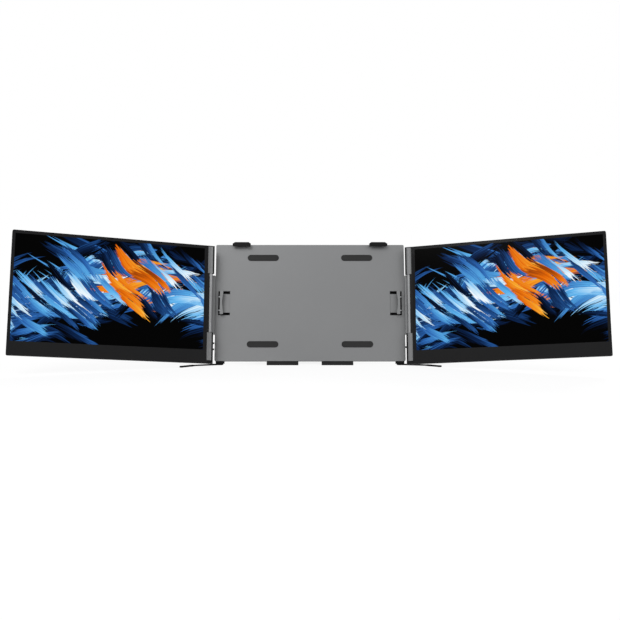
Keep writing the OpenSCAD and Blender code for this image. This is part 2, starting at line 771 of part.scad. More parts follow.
module base_pads() {
    a = base_pad_y[0];
    b = base_pad_y[1];
    color(rubber) both() along_x(base_pad_x - base_pad_w / 2, base_pad_x + base_pad_w / 2)
        polygon([[a, desk_at(a)], [b, desk_at(b)], [b, frame_z0], [a, frame_z0]]);
}

// Fillet where the web of a hinge arm meets its side block
module web_corner() {
    difference() {
        translate([-web_fillet, -web_fillet]) square(web_fillet + slop);
        translate([-web_fillet, -web_fillet]) circle(web_fillet);
    }
}

module hinge_arm(side) {
    axis_y = side < 0 ? left_axis_y : right_axis_y;
    color(grey) sided(side) difference() {
        union() {
            translate([0, 0, barrel_z0]) linear_extrude(barrel_z1 - barrel_z0) {
                translate([axis_x, axis_y]) circle(barrel_r);
                translate([axis_x - web_half, axis_y]) square([2 * web_half, arm_y0 - axis_y + slop]);
                translate([axis_x - web_half, arm_y0]) web_corner();
                translate([frame_half, arm_y0]) square([block_x1 - frame_half, cover_in - arm_y0 - 2]);
                translate([frame_half, arm_y0]) square([block_x1 - frame_half - 2, cover_in - arm_y0]);
                translate([block_x1 - 2, cover_in - 2]) circle(2);
            }
            for (z = tab_z) block([tab_x0, plate_back, z[0]], [frame_half + slop, plate_back + tab_t, z[1]]);
        }
        for (z = [barrel_z0 - slop, barrel_z1 - shaft_grip])
            translate([axis_x, axis_y, z]) cylinder(h = shaft_grip + slop, r = shaft_r);
        for (x = tab_screw_x, z = tab_screw_z()) translate([x, 0, z])
            rod_y(plate_back - slop, plate_back + tab_t + slop, screw_r + 0.6);
    }
}

module hinge_shafts(side) {
    axis_y = side < 0 ? left_axis_y : right_axis_y;
    low = tube_z0(0) - 0.5;
    high = tube_z0(1) + tube_l[1] + 0.5;
    color(steel) sided(side) translate([axis_x, axis_y, 0]) {
        translate([0, 0, low]) cylinder(h = barrel_z0 + shaft_grip - slop - low, r = shaft_r);
        translate([0, 0, barrel_z1 - shaft_grip]) cylinder(h = high - barrel_z1 + shaft_grip, r = shaft_r);
    }
}

module arm_screws() {
    color(steel) both() for (x = tab_screw_x, z = tab_screw_z())
        translate([x, plate_back + tab_t, z]) screw(screw_r + 0.4, tab_t + screw_bite, 2.6, 1.8);
}

module cover_screws() {
    color(steel) both() for (s = cover_spots)
        translate([s[0], cover_back - screw_head_t - 0.2, s[1]])
        screw(screw_r, cover_d - screw_head_t - 0.2 + screw_bite, screw_head_r, screw_head_t);
}

module clip_rods() {
    color(steel) both() for (z = [-rod_dz, rod_dz]) translate([0, rod_y, clip_z + z])
        rod_x(rod_post_x + 1, frame_half - cover_wall, rod_r);
}

// ---- Lid grips ----

module clip() {
    z0 = clip_z - clip_h / 2;
    z1 = clip_z + clip_h / 2;
    lip_x0 = clip_x0 - clip_lip;
    waist_r = pow(clip_h - 10, 2) / 8 / clip_waist + clip_waist / 2;
    color(grey) difference() {
        union() {
            slab(lip_y0, lip_y1) difference() {
                round_rect(lip_x0, z0, clip_x1, z1, 1);
                translate([lip_x0 + clip_waist - waist_r, clip_z]) circle(waist_r, $fn = 360);
            }
            block([clip_x0, lip_y1 - 0.2, z0], [clip_x1, clip_plate_y + clip_plate_t, z1]);
            block([clip_plate_x, clip_plate_y, clip_z - clip_arm_h / 2],
                [clip_x1, clip_plate_y + clip_plate_t, clip_z + clip_arm_h / 2]);
            for (x = lug_x, z = [-rod_dz, rod_dz]) translate([0, rod_y, clip_z + z])
                rod_x(x, x + lug_w, lug_r);
            translate([spring_x1 + anchor_r, 0, clip_z]) rod_y(clip_plate_y, spring_y + 1, anchor_r);
        }
        for (z = [-rod_dz, rod_dz]) translate([0, rod_y, clip_z + z])
            rod_x(clip_plate_x - slop, clip_x1 + slop, rod_r + run_gap);
    }
}

module clip_pad() {
    color(rubber) block([lid_half, lip_y1 + 0.4, clip_z - clip_arm_h / 2],
        [clip_x0, plate_y - 0.6, clip_z + clip_arm_h / 2]);
}

// Return spring of a clip: a wire ring carried along a helix
module clip_spring() {
    steps = 10;
    sides = 5;
    rings = spring_turns * steps;
    length = spring_x1 - spring_x0;
    points = [for (i = [0 : rings], k = [0 : sides - 1])
        let (a = i * 360 / steps, b = k * 360 / sides, r = spring_r + spring_wire * cos(b))
        [spring_x0 + spring_wire + (length - 2 * spring_wire) * i / rings + spring_wire * sin(b),
            spring_y + r * cos(a), clip_z + r * sin(a)]];
    walls = [for (i = [0 : rings - 1], k = [0 : sides - 1], half = [0, 1])
        let (n = (k + 1) % sides, a = i * sides, b = a + sides)
        half == 0 ? [a + k, a + n, b + n] : [a + k, b + n, b + k]];
    first = [for (k = [sides - 1 : -1 : 0]) k];
    last = [for (k = [0 : sides - 1]) rings * sides + k];
    color(steel) polyhedron(points, concat(walls, [first, last]), convexity = 10);
}

// Front outline of a top hook: slanted sides, a little narrower at the lip's end
module hook_outline() {
    a = hook_w / 2;
    polygon([[-a + 1, hook_top - hook_lip], [a - 1, hook_top - hook_lip], [a, frame_z1 + 0.4],
        [a - hook_slant, hook_top], [hook_slant - a, hook_top], [-a, frame_z1 + 0.4]]);
}

module hook() {
    arm_y1 = clip_plate_y + clip_plate_t;
    color(black) translate([hook_x, 0, 0]) {
        slab(lip_y0, lip_y1) hook_outline();
        intersection() {
            slab(lip_y0, arm_y1) hook_outline();
            block([-hook_w, lip_y0, hook_top - hook_cap], [hook_w, arm_y1, hook_top]);
        }
        block([-hook_arm_w / 2, clip_plate_y, hook_top - hook_cap - hook_arm_l],
            [hook_arm_w / 2, arm_y1, hook_top - hook_cap]);
    }
}

module hook_pad() {
    z = hook_top - hook_cap;
    color(rubber) block([hook_x - hook_arm_w / 2, lip_y1, z - hook_pad_t],
        [hook_x + hook_arm_w / 2, plate_y - 0.4, z]);
}

// ---- Kickstand and legs ----

module kickstand() {
    half = kick_w / 2;
    y0 = kick_barrel_r - kick_t;
    color(dark_grey) difference() {
        union() {
            rod_x(-half, half, kick_barrel_r);
            block([-half, y0, -20], [half, kick_barrel_r, 0]);
            slab(y0, kick_barrel_r) round_rect(-half, -kick_l, half, -6, 5);
        }
        slab(y0 - slop, kick_barrel_r + slop) round_rect(-kick_window[0] / 2, -kick_l + 28,
            kick_window[0] / 2, -kick_l + 28 + kick_window[1], 12);
        both() rod_x(half - kick_pin_l, half + slop, kick_pin_r + run_gap);
        translate([0, kick_mid, -kick_l]) rod_x(-half - slop, half + slop, kick_foot_r);
    }
}

module kickstand_foot() {
    color(rubber) translate([0, kick_mid, -kick_l]) rod_x(-kick_w / 2 + 6, kick_w / 2 - 6, kick_foot_r);
}

module kickstand_pins() {
    color(steel) both() translate([0, kick_y, kick_z])
        rod_x(kick_w / 2 - kick_pin_l + 0.5, kick_w / 2 - 1 + kick_pin_l, kick_pin_r);
}

module leg_mount() {
    color(black) difference() {
        translate([leg_x, mount_y - mid_y, leg_top + 0.2])
            linear_extrude(frame_z0 + slop) stadium(2 * mount_half, 2 * mount_r);
        stand() block([leg_x - 20, plate_y - 20, frame_z0], [leg_x + 20, cover_back + 20, frame_z0 + 20]);
        translate([leg_x, mount_y - mid_y, 0]) cylinder(h = 20, r = leg_pin_r);
    }
}

module leg_pins() {
    color(steel) both() translate([leg_x, mount_y - mid_y, 0]) {
        translate([0, 0, 0.3]) cylinder(h = leg_head_t, r = leg_head_r);
        translate([0, 0, 0.3]) cylinder(h = leg_pin_top - 0.3, r = leg_pin_r);
    }
}

// Puts a piece at the bend of a leg, turned as the shoe is
module on_bend() {
    translate([leg_l - shoe_l, 0, 0]) rotate([0, 0, -leg_bend]) children();
}

module tongue() {
    on_bend() block([0, -tongue_half, tongue_z[0]], [tongue_l, tongue_half, tongue_z[1]]);
}

module leg() {
    end = leg_l - shoe_l;
    color(black) difference() {
        union() {
            translate([0, 0, leg_top - leg_blade]) linear_extrude(leg_blade) {
                circle(leg_hub_r);
                translate([end, 0]) circle(leg_tip_half);
                polygon([[0, leg_hub_half], [0, -leg_hub_half], [end, -leg_tip_half], [end, leg_tip_half]]);
            }
            tongue();
        }
        cylinder(h = leg_top + slop, r = leg_pin_r + run_gap);
        cylinder(h = 0.3 + leg_head_t + 0.1, r = leg_head_r + 0.2);
    }
}

// Rubber shoe over the tongue, hollowed where it meets the blade's round end
module leg_shoe() {
    color(rubber) difference() {
        on_bend() linear_extrude(shoe_t) difference() {
            union() {
                for (x = [leg_tip_half + shoe_r, shoe_l - shoe_r]) translate([x, 0]) circle(shoe_r);
                translate([0, -leg_tip_half]) square([shoe_l - shoe_r, 2 * leg_tip_half]);
            }
            circle(leg_tip_half);
        }
        tongue();
    }
}

// ---- Assembly ----

stand() front_plate();
stand() rear_cover();
stand() lid_pads();
stand() base_pads();
stand() hinge_arm(LEFT);  // left_hinge_arm
stand() hinge_arm(RIGHT);  // right_hinge_arm
stand() hinge_shafts(LEFT);  // left_hinge_shafts
stand() hinge_shafts(RIGHT);  // right_hinge_shafts
stand() arm_screws();
stand() cover_screws();
stand() clip_rods();
stand() sided(LEFT) clip();  // left_clip
stand() clip();  // right_clip
stand() sided(LEFT) clip_pad();  // left_clip_pad
stand() clip_pad();  // right_clip_pad
stand() sided(LEFT) clip_spring();  // left_clip_spring
stand() clip_spring();  // right_clip_spring
stand() sided(LEFT) hook();  // left_hook
stand() hook();  // right_hook
stand() sided(LEFT) hook_pad();  // left_hook_pad
stand() hook_pad();  // right_hook_pad
on_kickstand() kickstand();
on_kickstand() kickstand_foot();
stand() kickstand_pins();
sided(LEFT) leg_mount();  // left_leg_mount
leg_mount();  // right_leg_mount
leg_pins();
on_leg(LEFT) leg();  // left_leg
on_leg(RIGHT) leg();  // right_leg
on_leg(LEFT) leg_shoe();  // left_leg_shoe
on_leg(RIGHT) leg_shoe();  // right_leg_shoe
on_hinge(LEFT) rear_shell([power_z[0], menu_z]);  // left_rear_shell
on_hinge(LEFT) front_frame();  // left_front_frame
on_hinge(LEFT) screen_glass();  // left_screen_glass
on_hinge(LEFT) lcd_cell();  // left_lcd_cell
on_hinge(LEFT) backlight();  // left_backlight
on_hinge(LEFT) hinge_trim();  // left_hinge_trim
on_hinge(LEFT) hinge_brackets();  // left_hinge_brackets
on_hinge(LEFT) bracket_screws();  // left_bracket_screws
on_hinge(LEFT) controller_board();  // left_controller_board
on_hinge(LEFT) button_board([power_z[0], menu_z]);  // left_button_board
on_hinge(LEFT) ribbon_cables();  // left_ribbon_cables
on_hinge(LEFT) usb_ports();  // left_usb_ports
on_hinge(LEFT) hdmi_port();  // left_hdmi_port
on_hinge(LEFT) side_button(power_z[0]);  // left_power_button
on_hinge(LEFT) side_button(menu_z);  // left_menu_button
on_hinge(RIGHT) rear_shell([power_z[1]]);  // right_rear_shell
on_hinge(RIGHT) front_frame();  // right_front_frame
on_hinge(RIGHT) screen_glass();  // right_screen_glass
on_hinge(RIGHT) lcd_cell();  // right_lcd_cell
on_hinge(RIGHT) backlight();  // right_backlight
on_hinge(RIGHT) hinge_trim();  // right_hinge_trim
on_hinge(RIGHT) hinge_brackets();  // right_hinge_brackets
on_hinge(RIGHT) bracket_screws();  // right_bracket_screws
on_hinge(RIGHT) controller_board();  // right_controller_board
on_hinge(RIGHT) button_board([power_z[1]]);  // right_button_board
on_hinge(RIGHT) ribbon_cables();  // right_ribbon_cables
on_hinge(RIGHT) usb_ports();  // right_usb_ports
on_hinge(RIGHT) hdmi_port();  // right_hdmi_port
on_hinge(RIGHT) side_button(power_z[1]);  // right_power_button
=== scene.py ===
"""Dresses a laptop screen extender: softened edges, finishes, screen pictures and a studio."""

import json
import math
from typing import NamedTuple

import bmesh
import bpy
from bpy.props import FloatProperty, FloatVectorProperty, PointerProperty
from mathutils import Matrix, Vector


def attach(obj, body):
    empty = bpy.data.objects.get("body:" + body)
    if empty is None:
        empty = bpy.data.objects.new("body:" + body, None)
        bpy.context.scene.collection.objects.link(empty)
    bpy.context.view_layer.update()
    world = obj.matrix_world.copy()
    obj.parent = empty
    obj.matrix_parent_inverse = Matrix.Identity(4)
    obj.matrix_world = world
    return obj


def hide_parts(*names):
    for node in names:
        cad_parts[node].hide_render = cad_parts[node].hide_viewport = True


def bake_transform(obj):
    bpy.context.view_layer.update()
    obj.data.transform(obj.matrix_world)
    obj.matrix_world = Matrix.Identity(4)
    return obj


bl_info = {
    "name": "Laptop Screen Extender",
    "version": (1, 0, 0),
    "blender": (4, 5, 0),
    "location": "View3D > Sidebar > Extender",
    "description": "Finishes, screen pictures and a studio for a laptop screen extender",
    "category": "Object",
}

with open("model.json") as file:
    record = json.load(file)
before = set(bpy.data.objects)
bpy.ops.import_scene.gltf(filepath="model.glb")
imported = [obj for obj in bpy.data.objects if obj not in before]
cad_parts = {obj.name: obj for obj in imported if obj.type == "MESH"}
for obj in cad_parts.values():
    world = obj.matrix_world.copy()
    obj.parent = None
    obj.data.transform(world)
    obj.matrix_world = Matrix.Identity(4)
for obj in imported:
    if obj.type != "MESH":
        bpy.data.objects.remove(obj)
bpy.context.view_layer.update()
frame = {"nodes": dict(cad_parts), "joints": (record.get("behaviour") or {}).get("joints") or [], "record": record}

SIDES = ("left", "right")
MM = 0.001

# Thickness of the picture film, and its gap to the cover glass
FILM_T = 0.03 * MM
FILM_GAP = 0.02 * MM

# Vertices closer than this become one
MERGE_GAP = 0.002 * MM
# Angles between two faces: below the first they become one, and above the second the edge
# between them is softened. Above the others it is shaded sharp, on a softened or a plain copy.
FLAT_TURN = math.radians(0.5)
SOFTEN_TURN = math.radians(32)
SHARP_TURN_SOFTENED = math.radians(50)
SHARP_TURN_PLAIN = math.radians(28)

# Finish of each node, by the end of its name
NODE_FINISHES = {
    "front_plate": "anodised_grey",
    "rear_cover": "black_moulding",
    # The hinge arms' finish is the plate's grey made lighter: painted light against the shade in their recess
    "hinge_arm": "painted_light_arm_grey",
    "hinge_shafts": "turned_steel",
    "lid_pads": "silicone",
    "base_pads": "rubber",
    "screws": "turned_steel",
    "clip_rods": "turned_steel",
    "clip_spring": "turned_steel",
    "_clip": "anodised_grey",
    "_pad": "silicone",
    "_hook": "black_paint",
    "kickstand": "dark_anodised",
    "kickstand_foot": "rubber",
    "kickstand_pins": "turned_steel",
    "leg_mount": "black_moulding",
    "leg_pins": "turned_steel",
    "_leg": "matt_paint",
    "leg_shoe": "matt_rubber",
    "rear_shell": "black_moulding",
    "front_frame": "dark_moulding",
    "screen_glass": "cover_glass",
    "lcd_cell": "cell_film",
    "backlight": "backlight_tray",
    # The trims' finish is the plate's grey made darker: painted shade for the shading of their rounded faces
    "hinge_trim": "painted_shade_trim_grey",
    "hinge_brackets": "stamped_steel",
    "board": "circuit_board",
    "ribbon_cables": "ribbon_film",
    "usb_ports": "stamped_steel",
    "hdmi_port": "stamped_steel",
    "button": "dark_moulding",
}

# Nodes shown through a copy with merged faces, by the end of their names, and the width of the
# copy's softened edges in mm. At 0 the edges stay as they are.
SOFT_EDGES = {
    "front_plate": 0.25,
    "rear_cover": 0,
    "hinge_arm": 0.3,
    "_clip": 0.25,
    "_hook": 0.4,
    "lid_pads": 0.2,
    "base_pads": 0.5,
    "kickstand": 0.25,
    "kickstand_foot": 0.5,
    "_leg": 0.2,
    "leg_shoe": 0.5,
    "leg_mount": 0.3,
    "hinge_trim": 0.25,
    "rear_shell": 0,
    "front_frame": 0.15,
    "screen_glass": 0.1,
    "button": 0.2,
    "hinge_shafts": 0.2,
    "cover_screws": 0.1,
    "arm_screws": 0.1,
    "clip_rods": 0.2,
    "kickstand_pins": 0.1,
    "leg_pins": 0.1,
}


# ---- Settings ----


def colour(name, text, value):
    return FloatVectorProperty(
        name=name, description=text, default=value, size=3, min=0, max=1, subtype="COLOR"
    )


def length(name, text, value):
    return FloatProperty(
        name=name, description=text, default=value, min=0, subtype="DISTANCE", unit="LENGTH"
    )


def amount(name, text, value):
    return FloatProperty(name=name, description=text, default=value, min=0)


class ExtenderFinishes(bpy.types.PropertyGroup):
    """Colours of the finishes."""

    grey: colour("Grey", "Anodised plate and clips", (0.201, 0.204, 0.207))
    # Arm colour: the plate's grey lightened by a quarter, painted light that offsets the shade in the arms' recess
    painted_light_arm: colour("Arm", "Anodised hinge arms", (0.25, 0.253, 0.257))
    # Trim colour: darker than the plate's grey, painted shade that stands for the shading of the trims' rounded
    # faces
    trim: colour("Trim", "Anodised trim of the hinges", (0.158, 0.16, 0.163))
    dark: colour("Dark grey", "Front frames and buttons", (0.0075, 0.0075, 0.0079))
    black: colour("Black", "Rear shells and cover", (0.004, 0.004, 0.0044))
    paint: colour("Paint", "Hooks and legs", (0.003, 0.003, 0.0033))
    kickstand: colour("Kickstand", "Dark anodised kickstand", (0.024, 0.024, 0.026))
    rubber: colour("Rubber", "Feet and pads", (0.008, 0.008, 0.008))
    steel: colour("Steel", "Shafts, rods and screws", (0.42, 0.43, 0.44))


class ExtenderPictures(bpy.types.PropertyGroup):
    """Size and colours of the pictures on the side screens."""

    width: length("Width", "Width of a picture", 344.2 * MM)
    height: length("Height", "Height of a picture", 193.6 * MM)
    side_border: length("Side border", "Glass beside a picture's outer edge", 4.3 * MM)
    top_border: length("Top border", "Glass above a picture", 4.7 * MM)
    deep: colour("Deep", "Darkest lit shards", (0.003, 0.018, 0.075))
    middle: colour("Middle", "Middle shards", (0.026, 0.135, 0.45))
    bright: colour("Bright", "Bright shards", (0.12, 0.48, 0.88))
    pale: colour("Pale", "Palest shards", (0.62, 0.83, 0.96))
    warm: colour("Warm", "Warm shards", (0.8, 0.145, 0.001))
    glow: colour("Glow", "Brightest warm shards", (0.96, 0.43, 0.03))


class ExtenderStudio(bpy.types.PropertyGroup):
    """Camera and light."""

    lens: FloatProperty(
        name="Lens", description="Focal length", default=55.88, min=10, subtype="DISTANCE_CAMERA"
    )
    distance: length("Distance", "Distance from the origin to the camera", 1766.5 * MM)
    height: length("Height", "Height of the camera above the desk", 236.3 * MM)
    pitch: FloatProperty(
        name="Pitch",
        description="Angle by which the camera looks down",
        default=math.radians(4.161),
        subtype="ANGLE",
        unit="ROTATION",
    )
    ambient: amount("Ambient", "Light from all round", 0.74)
    key: amount("Key light", "Power of the main light", 17)
    fill: amount("Fill light", "Power of the fill light", 7)
    back: amount("Back light", "Power of the back light", 26)


# ---- Node building ----

# Mean of a noise texture, alone and for each of three colours
NOISE_MEAN = 0.5
NOISE_MEANS = (NOISE_MEAN, NOISE_MEAN, NOISE_MEAN)
# Depth of a grain's pits against its noise, and how far lines are drawn out along X
PIT_DEPTH = 0.5
LINE_SQUEEZE = 0.02
# Places of a Mix node's colour sockets
MIX_FACTOR, MIX_A, MIX_B, MIX_RESULT = 0, 6, 7, 2


class Net:
    """A node tree with short ways to add nodes and arithmetic."""

    def __init__(self, tree):
        self.tree = tree

    def put(self, socket, value):
        if isinstance(value, bpy.types.NodeSocket):
            self.tree.links.new(value, socket)
        elif value is not None:
            socket.default_value = value

    def add(self, kind, inputs=None, **settings):
        node = self.tree.nodes.new(kind)
        for name, value in settings.items():
            setattr(node, name, value)
        for name, value in (inputs or {}).items():
            self.put(node.inputs[name], value)
        return node

    def math(self, operation, a, b=None, c=None, clamp=False):
        node = self.add("ShaderNodeMath", operation=operation, use_clamp=clamp)
        for socket, value in zip(node.inputs, (a, b, c)):
            self.put(socket, value)
        return node.outputs[0]

    def vary(self, value, by, around, clamp=False):
        """The value times by, plus around."""
        return self.math("MULTIPLY_ADD", value, by, around, clamp)

    def vector(self, operation, a, b=None, out="Vector"):
        node = self.add("ShaderNodeVectorMath", operation=operation)
        self.put(node.inputs[0], a)
        self.put(node.inputs["Scale" if operation == "SCALE" else 1], b)
        return node.outputs[out]

    def turn(self, vector, angle):
        inputs = {"Vector": vector, "Angle": angle}
        return self.add("ShaderNodeVectorRotate", inputs, rotation_type="Z_AXIS").outputs[0]

    def smooth(self, value, low, high, to_low=0.0, to_high=1.0):
        """A smooth step from to_low, where the value is low, to to_high, where it is high."""
        node = self.add("ShaderNodeMapRange", interpolation_type="SMOOTHSTEP")
        for socket, number in zip(node.inputs, (value, low, high, to_low, to_high)):
            self.put(socket, number)
        return node.outputs[0]

    def blend(self, factor, a, b):
        """Colour a where the factor is 0, and b where it is 1."""
        node = self.add("ShaderNodeMix", data_type="RGBA", clamp_factor=True)
        for socket, value in {MIX_FACTOR: factor, MIX_A: a, MIX_B: b}.items():
            self.put(node.inputs[socket], value)
        return node.outputs[MIX_RESULT]

    def ramp(self, factor, stops):
        node = self.add("ShaderNodeValToRGB", {"Fac": factor})
        elements = node.color_ramp.elements
        while len(elements) < len(stops):
            elements.new(1)
        for element, (place, shade) in zip(elements, stops):
            element.position = place
            element.color = (*shade, 1)
        return node.outputs["Color"]

    def noise(self, vector, scale, detail=2.0, roughness=0.5, out="Fac"):
        inputs = {"Vector": vector, "Scale": scale, "Detail": detail, "Roughness": roughness}
        return self.add("ShaderNodeTexNoise", inputs).outputs[out]

    def parts(self, vector):
        """X, Y and Z of a vector."""
        return self.add("ShaderNodeSeparateXYZ", {0: vector}).outputs

    def object_place(self):
        return self.add("ShaderNodeTexCoord").outputs["Object"]

    def seen_directly(self):
        """1 for rays that the viewer sees, straight, mirrored or through glass, else 0."""
        rays = self.add("ShaderNodeLightPath").outputs
        direct = self.math("MAXIMUM", rays["Is Camera Ray"], rays["Is Glossy Ray"])
        return self.math("MAXIMUM", direct, rays["Is Transmission Ray"])


def group(name, inputs, outputs, build):
    """A shader node group with named float inputs and named outputs, filled by build."""
    tree = bpy.data.node_groups.new(name, "ShaderNodeTree")
    for label, value in inputs.items():
        socket = tree.interface.new_socket(label, in_out="INPUT", socket_type="NodeSocketFloat")
        socket.default_value = value
    for label, kind in outputs.items():
        tree.interface.new_socket(label, in_out="OUTPUT", socket_type="NodeSocket" + kind)
    net = Net(tree)
    given = net.add("NodeGroupInput").outputs
    made = build(net, given)
    result = net.add("NodeGroupOutput")
    for label, value in made.items():
        net.put(result.inputs[label], value)


def build_edge_wear(net, given):
    """Softened normal at edges, and a mask that is 1 where an edge is rubbed bright."""
    bevel = net.add("ShaderNodeBevel", {"Radius": given["Radius"]}, samples=6)
    flat = net.add("ShaderNodeNewGeometry").outputs["True Normal"]
    turn = net.math("SUBTRACT", 1.0, net.vector("DOT_PRODUCT", bevel.outputs[0], flat, "Value"))
    patchy = net.noise(net.object_place(), given["Patch Scale"], detail=4.0, roughness=0.6)
    edges = net.smooth(turn, low=0.02, high=0.25)
    rubbed = net.math("MULTIPLY", edges, net.smooth(patchy, low=0.42, high=0.68))
    return {"Wear": net.math("MULTIPLY", rubbed, given["Amount"]), "Normal": bevel.outputs[0]}


def build_grain(net, given):
    """Fine pits of a bead-blasted or spark-eroded face, and its slow variation about 0."""
    place = net.object_place()
    fine = net.noise(place, given["Scale"], detail=3.0, roughness=0.65)
    cells = net.add("ShaderNodeTexVoronoi", {"Vector": place, "Scale": given["Scale"]})
    pits = net.math("MULTIPLY", cells.outputs["Distance"], PIT_DEPTH)
    slow = net.noise(place, given["Slow Scale"], detail=3.0, roughness=0.55)
    height = net.math("ADD", fine, pits)
    return {"Height": height, "Variation": net.math("SUBTRACT", slow, NOISE_MEAN)}


def build_lines(net, given):
    """Fine parallel lines of a brushed or turned face, along X, and their variation about 0."""
    stretch = net.add("ShaderNodeCombineXYZ", {"X": LINE_SQUEEZE, "Y": 1.0, "Z": 1.0}).outputs[0]
    place = net.vector("MULTIPLY", net.object_place(), stretch)
    lines = net.noise(place, given["Scale"], detail=2.0, roughness=0.7)
    return {"Height": lines, "Variation": net.math("SUBTRACT", lines, NOISE_MEAN)}


def build_handling(net, given):
    """Faint finger marks, and dust that has settled on faces that look up."""
    place = net.object_place()
    wide = net.noise(place, given["Mark Scale"], detail=5.0, roughness=0.6)
    marks = net.math("MULTIPLY", net.smooth(wide, low=0.5, high=0.72), given["Marks"])
    up = net.parts(net.add("ShaderNodeNewGeometry").outputs["Normal"])["Z"]
    specks = net.noise(place, scale=1400.0, detail=2.0, roughness=0.7)
    specks = net.smooth(specks, low=0.58, high=0.72)
    lying = net.math("MULTIPLY", net.smooth(up, low=0.45, high=0.95), specks)
    return {"Marks": marks, "Dust": net.math("MULTIPLY", lying, given["Dust"])}


def shared_groups():
    """The effects that several materials use, each built once."""
    if "Edge Wear" in bpy.data.node_groups:
        return
    group(
        "Edge Wear",
        {"Radius": 0.4 * MM, "Patch Scale": 160.0, "Amount": 0.5},
        {"Wear": "Float", "Normal": "Vector"},
        build_edge_wear,
    )
    group(
        "Grain",
        {"Scale": 2600.0, "Slow Scale": 14.0},
        {"Height": "Float", "Variation": "Float"},
        build_grain,
    )
    group("Lines", {"Scale": 5200.0}, {"Height": "Float", "Variation": "Float"}, build_lines)
    group(
        "Handling",
        {"Mark Scale": 30.0, "Marks": 0.1, "Dust": 0.1},
        {"Marks": "Float", "Dust": "Float"},
        build_handling,
    )


class Surface(Net):
    """A material's tree: one Principled BSDF, with the shared effects at hand."""

    def __init__(self, name):
        shared_groups()
        self.material = bpy.data.materials.new("finish_" + name)
        self.material.use_nodes = True
        super().__init__(self.material.node_tree)
        self.tree.nodes.clear()
        self.shader = self.add("ShaderNodeBsdfPrincipled")
        self.output = self.add("ShaderNodeOutputMaterial")
        self.put(self.output.inputs["Surface"], self.shader.outputs[0])

    def effect(self, name, **inputs):
        node = self.add("ShaderNodeGroup", node_tree=bpy.data.node_groups[name])
        for label, value in inputs.items():
            self.put(node.inputs[label.replace("_", " ")], value)
        return node.outputs

    def bump(self, height, depth, strength, normal=None):
        inputs = {"Height": height, "Distance": depth, "Strength": strength, "Normal": normal}
        return self.add("ShaderNodeBump", inputs).outputs[0]

    def set(self, **inputs):
        for label, value in inputs.items():
            self.put(self.shader.inputs[label.replace("_", " ")], value)
        return self.material


# ---- Finishes ----

# What shows where an edge is rubbed, by material
RUBBED_ALUMINIUM = (0.55, 0.56, 0.57, 1.0)
RUBBED_STEEL = (0.68, 0.68, 0.67, 1.0)
RUBBED_PLASTIC = (0.03, 0.03, 0.032, 1.0)

# Settled dust, as it shows on each material
DUST_ON_METAL = (0.35, 0.35, 0.34, 1.0)
DUST_ON_PLASTIC = (0.2, 0.2, 0.19, 1.0)
DUST_ON_GLASS = (0.1, 0.1, 0.1, 1.0)

GLASS_BORDER = (0.0105, 0.0105, 0.011, 1.0)
BLACK = (0.0, 0.0, 0.0, 1.0)
WHITE = (1.0, 1.0, 1.0, 1.0)

# Circuit boards: darkest and lightest solder mask, covered tracks, and gilt pads with their
# radius and their strength
MASK_DARK, MASK_LIGHT = (0.004, 0.05, 0.02), (0.008, 0.09, 0.035)
TRACK = (0.012, 0.16, 0.06, 1.0)
GILT_PAD = (0.6, 0.42, 0.12, 1.0)
PAD_RADIUS, PAD_STRENGTH = 0.16, 0.8


def blasted_metal(name, shade, roughness, wear):
    """Anodised aluminium with a fine bead-blasted grain."""
    surface = Surface(name)
    grain = surface.effect("Grain", Scale=3000.0, Slow_Scale=9.0)
    edge = surface.effect("Edge Wear", Radius=0.4 * MM, Patch_Scale=140.0, Amount=wear)
    handling = surface.effect("Handling", Mark_Scale=24.0, Marks=0.04, Dust=0.05)
    tone = surface.vary(grain["Variation"], by=0.1, around=1.0)
    base = surface.vector("SCALE", shade, tone)
    rubbed = surface.blend(edge["Wear"], base, RUBBED_ALUMINIUM)
    dusty = surface.blend(handling["Dust"], rubbed, DUST_ON_METAL)
    rough = surface.vary(grain["Variation"], by=0.12, around=roughness)
    rough = surface.math("SUBTRACT", rough, handling["Marks"], clamp=True)
    normal = surface.bump(grain["Height"], 0.03 * MM, strength=0.35, normal=edge["Normal"])
    return surface.set(Base_Color=dusty, Metallic=0.85, Roughness=rough, Normal=normal)


def moulded_plastic(name, shade, roughness, depth, specular, sheen, wear):
    """Moulded plastic or rubber with a spark-eroded texture of a given depth."""
    surface = Surface(name)
    grain = surface.effect("Grain", Scale=2100.0, Slow_Scale=12.0)
    edge = surface.effect("Edge Wear", Radius=0.5 * MM, Patch_Scale=110.0, Amount=wear)
    handling = surface.effect("Handling", Mark_Scale=18.0, Marks=0.1, Dust=0.06)
    tone = surface.vary(grain["Variation"], by=0.35, around=1.0)
    base = surface.vector("SCALE", shade, tone)
    polished = surface.blend(edge["Wear"], base, RUBBED_PLASTIC)
    dusty = surface.blend(handling["Dust"], polished, DUST_ON_PLASTIC)
    rough = surface.vary(grain["Variation"], by=0.16, around=roughness)
    rough = surface.math("SUBTRACT", rough, handling["Marks"], clamp=True)
    normal = surface.bump(grain["Height"], depth, strength=0.4, normal=edge["Normal"])
    surface.set(Sheen_Weight=sheen, Sheen_Roughness=0.6, Specular_IOR_Level=specular)
    return surface.set(Base_Color=dusty, Roughness=rough, Normal=normal)


def lined_metal(name, shade, roughness):
    """Turned or brushed steel."""
    surface = Surface(name)
    lines = surface.effect("Lines", Scale=4200.0)
    edge = surface.effect("Edge Wear", Radius=0.2 * MM, Patch_Scale=220.0, Amount=0.4)
    tone = surface.vary(lines["Variation"], by=0.3, around=1.0)
    base = surface.vector("SCALE", shade, tone)
    rubbed = surface.blend(edge["Wear"], base, RUBBED_STEEL)
    rough = surface.vary(lines["Variation"], by=0.25, around=roughness)
    normal = surface.bump(lines["Height"], 0.02 * MM, strength=0.3, normal=edge["Normal"])
    return surface.set(Base_Color=rubbed, Metallic=1.0, Roughness=rough, Normal=normal)


